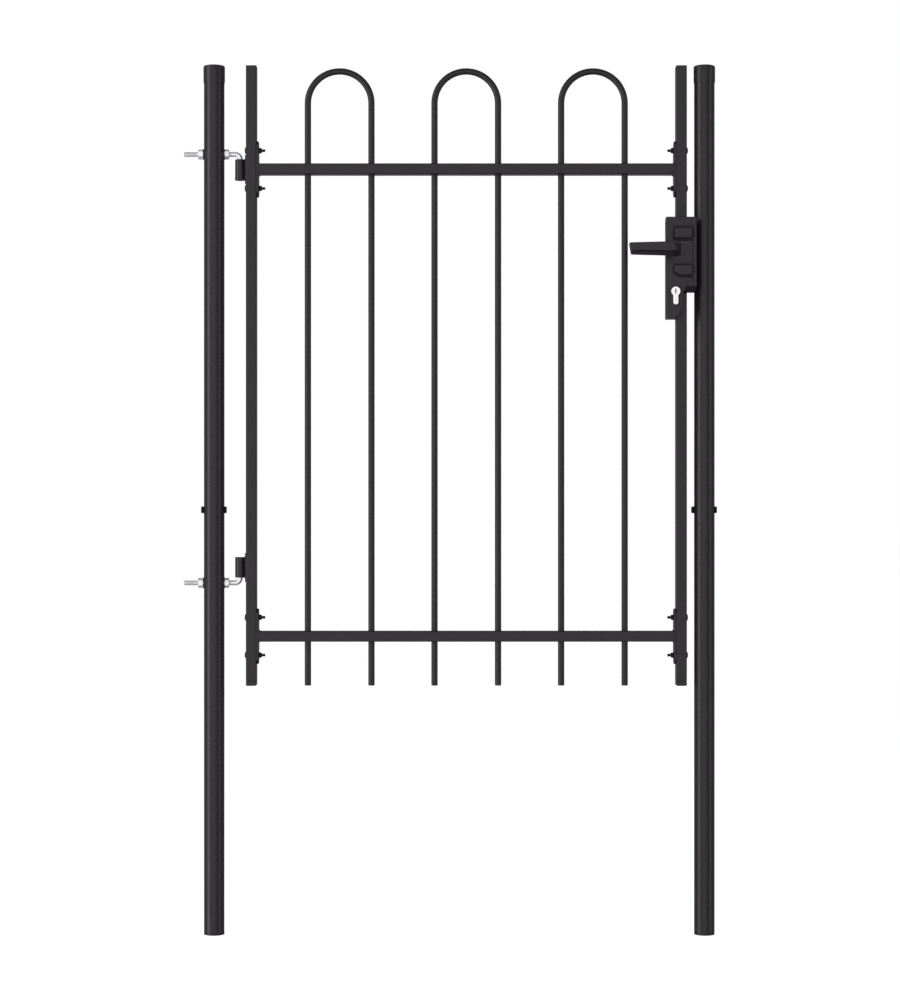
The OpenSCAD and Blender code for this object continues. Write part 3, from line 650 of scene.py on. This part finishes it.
def make_front_cover():
    """The cast cover: rounded edges, wing with a sloping underside, pads, passages with closed ends."""
    x0, x1 = low("front_cover").x - COVER_OVERHANG, high("front_cover").x
    z0, z1 = spindle_at.z - COVER_BELOW, high("front_cover").z
    cut_z = high("front_cover").z - CUT_DOWN
    back = high("front_cover").y
    front = back - COVER_D
    leaf_x1 = high("latch_upright").x
    cylinder = Vector((spindle_at.x, high("profile_cylinder").z - CYLINDER_R))
    neck = Vector((spindle_at.x, spindle_at.z))
    wing_z = spindle_at.z - WING_BELOW
    cut_x = leaf_x1 - CUT_RUN
    lean = CUT_RUN/CUT_RISE
    lines = []
    for drop in (0, WING_DROP):
        slope_x = cut_x + (wing_z - drop - cut_z)*lean
        lines.append(rounded([*cover_foot(x0, z0, cut_x, cut_z), (slope_x, wing_z - drop, SMALL_CORNER),
                              (x1, wing_z - drop, SMALL_CORNER), (x1, z1, WING_CORNER),
                              (x0, z1, COVER_CORNER)]))
    front_line, rear_line = lines
    bm = bmesh.new()
    rings = [standing(rear_line, front + WING_D)]
    for share in (0.25, 0.5, 0.75):
        middle = [near.lerp(far, share) for near, far in zip(rear_line, front_line)]
        rings.append(standing(middle, front + WING_D - (WING_D - COVER_EDGE)*share))
    for step in range(5):
        angle = math.radians(22.5*step)
        depth = COVER_EDGE*(1 - math.cos(angle))
        rings.append(standing(inset(front_line, depth), front + COVER_EDGE*(1 - math.sin(angle))))
    rows = skin(bm, rings, True)
    bm.faces.new(rows[0][::-1])
    neck_hole = circle_outline(neck, NECK_R + NECK_ROOM)
    passage_y = front + WING_D - PASSAGE_END
    cylinder_hole = cylinder_outline(cylinder + Vector(HOLE_SHIFT), HOLE_ROOM)
    height_field(bm, inset(front_line, COVER_EDGE), [neck_hole, cylinder_hole], FACE_STEP,
                 cover_relief, front)
    rows = skin(bm, [standing(neck_hole, front), standing(neck_hole, passage_y)], True)
    bm.faces.new(rows[-1])
    deep = cylinder_outline(cylinder, CYLINDER_ROOM)
    rows = skin(bm, [standing(cylinder_hole, front), standing(cylinder_hole, front + HOLE_DEPTH),
                     standing(deep, front + HOLE_DEPTH + HOLE_STEP), standing(deep, passage_y)], True)
    bm.faces.new(rows[-1])
    back_line = rounded([*cover_foot(x0, z0, cut_x, cut_z), (leaf_x1, cut_z + CUT_RISE, SMALL_CORNER),
                         (leaf_x1, z1, WING_CORNER), (x0, z1, COVER_CORNER)])
    loft(bm, [standing(back_line, front + WING_D - BODY_LAP), standing(back_line, back - BACK_EDGE),
              standing(inset(back_line, BACK_EDGE), back)])
    bmesh.ops.remove_doubles(bm, verts=bm.verts, dist=MERGE*MM)
    obj = add_mesh("lock_cover", bm)
    weigh_normals(obj)
    dress(obj, "leaf", "lock_black", "front_cover")


# ---------------------------------------------------------------- lever

def lever_section(height, groove):
    """The blade's section as (depth, height) points: flat face, groove, and a ledge that slopes under."""
    return rounded([(0, height/2, 1.5), (0, -0.17*height, 0.5), (groove, -0.19*height, 0.3),
                    (groove, -0.27*height, 0.3), (LEDGE_D, -0.29*height, 0.4),
                    (LEVER_T - 1.2, -height/2, 0.6), (LEVER_T, -height/2, 0.6), (LEVER_T, height/2, 1.5)], 4)


def neck_ring(left, right, bottom, top, y, power):
    """A ring between four sides: an ellipse for power 1, squarer below that."""
    ring = []
    for step in range(NECK_STEPS):
        across, up = math.cos(math.tau*step/NECK_STEPS), math.sin(math.tau*step/NECK_STEPS)
        across = math.copysign(abs(across)**power, across)
        up = math.copysign(abs(up)**power, up)
        ring.append(((left + right)/2 + across*(right - left)/2, y, (bottom + top)/2 + up*(top - bottom)/2))
    return ring


def make_lever():
    """The lever: a blade that tapers to its tip, on a neck that leans back and flares to the cover."""
    tip = low("front_lever").x
    face = low("front_lever").y
    root_h = high("front_lever").z - low("front_lever").z
    length = spindle_at.x - LEVER_END - tip
    ends = LEVER_TIP + LEVER_RINGS
    ends += [(length - END_ROUND*(1 - math.sin(angle)), END_ROUND*(1 - math.cos(angle)))
             for angle in (math.radians(15*step) for step in range(6))]
    bm = bmesh.new()
    rings = []
    for along, depth in ends:
        height = LEVER_TIP_H + (root_h - LEVER_TIP_H)*along/length
        groove = GROOVE_TIP + (GROOVE_ROOT - GROOVE_TIP)*smoothstep(along/GROOVE_RUN)
        ring = []
        for point in lever_section(height, groove):
            share = smoothstep((-0.1*height - point.y)/TIP_STEP_SOFT)
            shift = TIP_STEP*share*max(0, 1 - along/TIP_STEP_RUN)
            ring.append((tip + along + shift, face + LEVER_T/2 + (point.x - LEVER_T/2)*(1 - 2*depth/LEVER_T),
                         spindle_at.z + point.y*(1 - 2*depth/height)))
        rings.append(ring)
    loft(bm, rings)
    x, z = spindle_at.x, spindle_at.z
    start_y, bar_y = face + NECK_IN_BLADE, low("spindle").y - NECK_OVER_BAR
    cover_y = high("front_cover").y - COVER_D - NECK_GAP
    rings = []
    for step in range(5):
        share = step/4
        rings.append(neck_ring(x - NECK_LEFT + NECK_LEAN*share,
                               x - LEVER_END - NECK_LAP + (LEVER_END + NECK_REACH)*share,
                               z - NECK_BOTTOM - NECK_DROP*share, z + NECK_TOP + NECK_LIFT*share,
                               start_y + (bar_y - start_y)*share, NECK_SQUARE))
    left, right = x - (NECK_LEFT - NECK_LEAN), x + (NECK_REACH - NECK_LAP)
    bottom, top = z - (NECK_BOTTOM + NECK_DROP), z + (NECK_TOP + NECK_LIFT)
    for lift, spread in NECK_FLARE:
        rings.append(neck_ring(left, right + spread, bottom - FLARE_DOWN*spread, top + FLARE_UP*spread,
                               cover_y - lift, NECK_SQUARE))
    for y in (cover_y + NECK_INSET, high("front_lever").y):
        rings.append(neck_ring(x - NECK_R, x + NECK_R, z - NECK_R, z + NECK_R, y, 1))
    loft(bm, rings)
    obj = add_mesh("lever_handle", bm)
    weigh_normals(obj)
    dress(obj, "lever", "lock_black", "front_lever")


# ---------------------------------------------------------------- hinges

def thread(bm, start, end, radius, pitch, place, steps=28):
    """A threaded rod as one helical skin that tapers away at both ends."""
    root = radius - THREAD_DEPTH*pitch
    shape = [(0, radius), (0.125, radius), (0.4375, root), (0.6875, root)]
    turns = int((end - start)/pitch) + 2
    rows = []
    for turn in range(-2, turns):
        for offset, size in shape:
            row = []
            for step in range(steps):
                at = start + (turn + offset + step/steps)*pitch
                over = max(0, start - at, at - end)
                edge = min(at - start, end - at)
                here = min(size, root + max(0, edge)*THREAD_LEAD)*max(0.0, 1 - over/(THREAD_END*pitch))
                angle = math.tau*step/steps
                at = min(end, max(start, at))
                point = place @ Vector((at, here*math.cos(angle), here*math.sin(angle)))
                row.append(bm.verts.new(point*MM))
            rows.append(row)
    for near, far, next_near, next_far in zip(rows, rows[1:], rows[4:], rows[5:]):
        for index in range(steps - 1):
            bm.faces.new((near[index], near[index + 1], far[index + 1], far[index]))
        bm.faces.new((near[-1], next_near[0], next_far[0], far[-1]))


def sweep(bm, path, radius, steps=24, wobble=0.0, seed=1):
    """A tube along a path of points, drawn in a little at its two closed ends."""
    dice = random.Random(seed)
    rings = []
    normal = None
    for index, point in enumerate(path):
        before = path[max(0, index - 1)]
        after = path[min(len(path) - 1, index + 1)]
        along = (after - before).normalized()
        if normal is None:
            normal = along.orthogonal().normalized()
        normal = (normal - along*normal.dot(along)).normalized()
        side = along.cross(normal)
        size = radius*(1 + wobble*(dice.random() - 0.5))
        if index in (0, len(path) - 1):
            size = 0.8*size
        angles = [math.tau*step/steps for step in range(steps)]
        rings.append([point + (normal*math.cos(angle) + side*math.sin(angle))*size for angle in angles])
    loft(bm, rings)


def make_hook(node, down):
    """A hook rod: threaded through the post, plain round its bend and down into the sleeve."""
    centre_z = high(node).z - HOOK_R if down < 0 else low(node).z + HOOK_R
    start = low(node).x
    pivot = high(node).x - HOOK_R
    bend_x = pivot - HOOK_BEND
    end_z = low(node).z if down < 0 else high(node).z
    bm = bmesh.new()
    thread(bm, start, bend_x - HOOK_PLAIN, HOOK_R, HOOK_PITCH, Matrix.Translation((0, 0, centre_z)))
    path = [Vector((bend_x - (HOOK_PLAIN + HOOK_LAP), 0, centre_z)),
            Vector((bend_x - (HOOK_PLAIN + HOOK_SHOULDER), 0, centre_z)),
            Vector((bend_x - HOOK_PLAIN/2, 0, centre_z))]
    for step in range(13):
        angle = math.radians(7.5*step)
        path.append(Vector((bend_x + HOOK_BEND*math.sin(angle), 0,
                            centre_z + down*HOOK_BEND*(1 - math.cos(angle)))))
    path += [Vector((pivot, 0, end_z - down*HOOK_TIP)), Vector((pivot, 0, end_z))]
    sweep(bm, path, HOOK_R)
    bmesh.ops.remove_doubles(bm, verts=bm.verts, dist=MERGE*MM)
    bmesh.ops.recalc_face_normals(bm, faces=bm.faces)
    obj = add_mesh("threaded_" + node, bm)
    weigh_normals(obj)
    dress(obj, "posts", "zinc", node)


# ---------------------------------------------------------------- bolts and welds

def along_x(x, y, z, direction):
    """A matrix that lays a length along the X axis, from a point and in a direction of 1 or -1."""
    return Matrix(((direction, 0, 0, x), (0, 1, 0, y), (0, 0, 1, z), (0, 0, 0, 1)))


def along_z(x):
    """A matrix that lays a length up the Z axis, over a point of the X axis."""
    return Matrix(((0, 0, 1, x), (0, 1, 0, 0), (1, 0, 0, 0), (0, 0, 0, 1)))


def hexagon(bm, width, thick, place, chamfer=0.7):
    """A hexagonal head or nut whose corners are turned off on its outer side."""
    corner = width/math.sqrt(3)
    rings = []
    for along, size in ((0, 0), (thick - chamfer, 0), (thick, chamfer)):
        ring = []
        for step in range(HEX_STEPS):
            angle = math.tau*(step + 0.5)/HEX_STEPS
            flat = width/2/math.cos((angle + math.pi/6) % (math.pi/3) - math.pi/6)
            reach = min(flat, corner - HEX_SLOPE*size)
            ring.append(place @ Vector((along, reach*math.sin(angle), reach*math.cos(angle))))
        rings.append(ring)
    loft(bm, rings)


def make_end_bolts(name, node, upright, side):
    """Carriage bolts that hold a rail's end: dome outside, flange nut and thread inside."""
    outer = low(upright).x if side < 0 else high(upright).x
    inner = low(node).x + PLATE_T if side < 0 else high(node).x - PLATE_T
    middle = (low(node).z + high(node).z)/2
    bm = bmesh.new()
    for z in (middle - END_BOLT, middle + END_BOLT):
        dome = along_x(outer, 0, z, side)
        turned(bm, END_DOME, dome)
        nut = along_x(inner, 0, z, -side)
        turned(bm, END_FLANGE, nut)
        hexagon(bm, *END_NUT, nut)
        thread(bm, *END_THREAD, nut, 20)
    bmesh.ops.remove_doubles(bm, verts=bm.verts, dist=MERGE*MM)
    bmesh.ops.recalc_face_normals(bm, faces=bm.faces)
    obj = add_mesh(name, bm)
    weigh_normals(obj)
    dress(obj, "leaf", "lock_black")


def make_cross_bolt(name, post):
    """The hexagon bolt through a post, with its nut on the other side."""
    middle = (low(post) + high(post))/2
    radius = (high(post).x - low(post).x)/2
    bm = bmesh.new()
    head = along_x(middle.x - radius, 0, CROSS_BOLT_Z, -1)
    turned(bm, CROSS_SEAT, head)
    hexagon(bm, *CROSS_HEAD, head)
    nut = along_x(middle.x + radius, 0, CROSS_BOLT_Z, 1)
    turned(bm, CROSS_SEAT, nut)
    hexagon(bm, *CROSS_NUT, nut)
    bmesh.ops.recalc_face_normals(bm, faces=bm.faces)
    obj = add_mesh(name, bm)
    weigh_normals(obj)
    dress(obj, "posts", "lock_black")


def bead(bm, path, radius, seed):
    """A weld bead: a tube that swells and narrows in short ripples."""
    length = sum((b - a).length for a, b in zip(path, path[1:]))
    count = max(4, int(length/BEAD_RIPPLE))
    points = []
    for index in range(count + 1):
        target = length*index/count
        for a, b in zip(path, path[1:]):
            part = (b - a).length
            if target <= part or b is path[-1]:
                points.append(a.lerp(b, min(1.0, target/part)))
                break
            target -= part
    sweep(bm, points, radius, 10, BEAD_WOBBLE, seed)


def make_rail_welds(name, rail):
    """Beads where a rail's tube meets its end plates."""
    bm = bmesh.new()
    near_y = low(rail).y + RAIL_CORNER
    z0, z1 = low(rail).z, high(rail).z
    seed = len(name)
    for x in (low(rail).x + RAIL_BEAD_IN, high(rail).x - RAIL_BEAD_IN):
        for z in (z0, z1):
            seed += 1
            bead(bm, [Vector((x, near_y, z)), Vector((x, -near_y, z))], RAIL_BEAD_R, seed)
        for y in (low(rail).y, high(rail).y):
            seed += 1
            side_y = y + (SIDE_BEAD_SINK if y < 0 else -SIDE_BEAD_SINK)
            bead(bm, [Vector((x, side_y, z0 + RAIL_CORNER)), Vector((x, side_y, z1 - RAIL_CORNER))],
                 RAIL_SIDE_BEAD_R, seed)
    obj = add_mesh(name, bm, smooth=True)
    dress(obj, "leaf", "black_coat")


def make_sleeve_welds(name, sleeve):
    """Short beads over and under a hinge sleeve, where it meets its plate."""
    bm = bmesh.new()
    x = high("sleeve_plates").x - SLEEVE_BEAD_IN
    for z in (low(sleeve).z, high(sleeve).z):
        bead(bm, [Vector((x, -SLEEVE_BEAD_HALF, z)), Vector((x, SLEEVE_BEAD_HALF, z))],
             SLEEVE_BEAD_R, int(z))
    obj = add_mesh(name, bm, smooth=True)
    dress(obj, "leaf", "black_coat")


def make_strike_welds():
    """Beads down both sides of the strike, where it meets the latch post."""
    bm = bmesh.new()
    half = -low("strike").y
    post = (low("latch_post") + high("latch_post"))/2
    radius = (high("latch_post").x - low("latch_post").x)/2
    x = post.x - math.sqrt(radius**2 - half**2)
    for side in (-1, 1):
        at = (x - STRIKE_BEAD_OUT, side*(half + STRIKE_BEAD_OUT))
        bead(bm, [Vector((*at, low("strike").z + STRIKE_BEAD_END)),
                  Vector((*at, high("strike").z - STRIKE_BEAD_END))], STRIKE_BEAD_R, STRIKE_SEED + side)
    obj = add_mesh("strike_welds", bm, smooth=True)
    dress(obj, "posts", "black_coat")


# ---------------------------------------------------------------- caps and feet

def make_post_cap(name, node, post):
    """A plastic cap as one turned shell: low crown, bead, shallow groove and a lip that draws in."""
    middle = (low(node) + high(node))/2
    bottom, top = low(node).z, high(node).z
    bead_r = (high(node).x - low(node).x)/2
    wall_r = bead_r - CAP_BEAD
    inner_r = (high(post).x - low(post).x)/2 + CAP_CLEARANCE
    bead_z = top - CAP_BEAD_DOWN
    profile = [(top - CAP_ROOF, 0.5), (top - CAP_ROOF, inner_r), (bottom, inner_r), (bottom, inner_r + 0.35),
               (bottom + 0.5, inner_r + 0.45), (bottom + 1.6, wall_r - 0.3),
               (bottom + 3.0, wall_r - CAP_GROOVE), (bottom + 4.4, wall_r),
               (bead_z - 0.6, wall_r), (bead_z - 0.2, bead_r), (bead_z + 0.2, bead_r), (bead_z + 0.6, wall_r),
               (top - 4.4, wall_r), (top - 3.2, wall_r - 0.4), (top - 2.4, wall_r - 1.2)]
    profile += [(top - CAP_CROWN*share**2, (wall_r - 2)*share) for share in (1, 0.8, 0.6, 0.4, 0.2, 0.05)]
    bm = bmesh.new()
    turned(bm, profile, along_z(middle.x), ROUND_STEPS)
    obj = add_mesh(name, bm)
    weigh_normals(obj)
    dress(obj, "posts", "black_plastic", node)


def make_post_foot(name, node, post):
    """A foot plug: a crisp rim under the tube, a fine groove between them, and the insert."""
    middle = (low(node) + high(node))/2
    rim_r = (high(node).x - low(node).x)/2
    rim_z = low(post).z
    profile = [(0, 0.5), (0, rim_r - FOOT_ROUND), (FOOT_ROUND, rim_r), (rim_z - FOOT_GROOVE, rim_r),
               (rim_z - FOOT_GROOVE/2, rim_r - FOOT_GROOVE), (rim_z, rim_r - FOOT_GROOVE),
               (rim_z, rim_r - FOOT_WALL), (high(node).z, rim_r - FOOT_WALL), (high(node).z, 0.5)]
    bm = bmesh.new()
    turned(bm, profile, along_z(middle.x), ROUND_STEPS)
    obj = add_mesh(name, bm)
    weigh_normals(obj)
    dress(obj, "posts", "black_plastic", node)


def make_upright_feet():
    """The plugs under both uprights: a thin ridge between two grooves, and rounded lower edges."""
    node = "upright_bottom_caps"
    bottom = low(node).z
    bm = bmesh.new()
    for upright in ("hinge_upright", "latch_upright"):
        x0, x1 = low(upright).x, high(upright).x
        y0, y1 = low(upright).y, high(upright).y
        rim_z = low(upright).z
        rings = []
        for z, depth in [(bottom, 2.4), (bottom + 0.3, 1.3), (bottom + 1.0, 0.5), (bottom + 2.2, 0),
                         (rim_z - 4.6, 0), (rim_z - 3.8, PLUG_GROOVE), (rim_z - 3.0, 0), (rim_z - 1.2, 0),
                         (rim_z - 0.6, PLUG_GROOVE), (rim_z, PLUG_GROOVE), (rim_z, PLUG_WALL),
                         (high(node).z, PLUG_WALL)]:
            corners = [(x0 + depth, y0 + depth), (x1 - depth, y0 + depth),
                       (x1 - depth, y1 - depth), (x0 + depth, y1 - depth)]
            outline = rounded([(*corner, PLUG_CORNER) for corner in corners], 3)
            rings.append([(point.x, point.y, z) for point in outline])
        loft(bm, rings)
    obj = add_mesh("upright_feet", bm)
    weigh_normals(obj)
    dress(obj, "leaf", SLOT_OF[node], node)


# ---------------------------------------------------------------- the dressed gate

bpy.context.scene.view_settings.view_transform = "Standard"
make_camera()
make_world()
make_softbox("key", azimuth=-65, distance=3.5, width=1.0, power=103)
make_softbox("fill", azimuth=68, distance=5, width=0.8, power=50)
make_softbox("front", azimuth=-5, distance=5, width=6.0, power=112)
make_floor()

finishes = {"black_coat": black_coat(), "black_plastic": black_plastic(), "lock_black": lock_black(),
            "zinc": zinc(), "nickel": nickel()}
for row in frame["record"]["subparts"]:
    node = frame["nodes"][row["node"]]
    node.data.materials.clear()
    node.data.materials.append(finishes[row["material_slot"]])

make_front_cover()
make_lever()
make_hook("top_hook", -1)
make_hook("bottom_hook", 1)
make_end_bolts("top_left_bolts", "top_rail_plates", "hinge_upright", -1)
make_end_bolts("top_right_bolts", "top_rail_plates", "latch_upright", 1)
make_end_bolts("bottom_left_bolts", "bottom_rail_plates", "hinge_upright", -1)
make_end_bolts("bottom_right_bolts", "bottom_rail_plates", "latch_upright", 1)
make_cross_bolt("hinge_post_bolt", "hinge_post")
make_cross_bolt("latch_post_bolt", "latch_post")
make_rail_welds("top_rail_welds", "top_rail")
make_rail_welds("bottom_rail_welds", "bottom_rail")
make_sleeve_welds("top_sleeve_welds", "top_sleeve")
make_sleeve_welds("bottom_sleeve_welds", "bottom_sleeve")
make_strike_welds()
make_post_cap("hinge_post_cap_shell", "hinge_post_cap", "hinge_post")
make_post_cap("latch_post_cap_shell", "latch_post_cap", "latch_post")
make_post_foot("hinge_post_foot_plug", "hinge_post_foot", "hinge_post")
make_post_foot("latch_post_foot_plug", "latch_post_foot", "latch_post")
make_upright_feet()
soften("top_rail_plates", 0.6)
soften("bottom_rail_plates", 0.6)
soften("sleeve_plates", 0.5)
soften("strike", 0.5)
soften("lock_case", 0.8)
soften("rear_cover", 1.2)
soften("rear_knob", 1.2)
soften("upright_top_caps", 0.8)
soften("hook_washers", 0.4)
soften("profile_cylinder", 0.5)
soften("latch_bolt", 0.5)
soften("dead_bolt", 0.5)
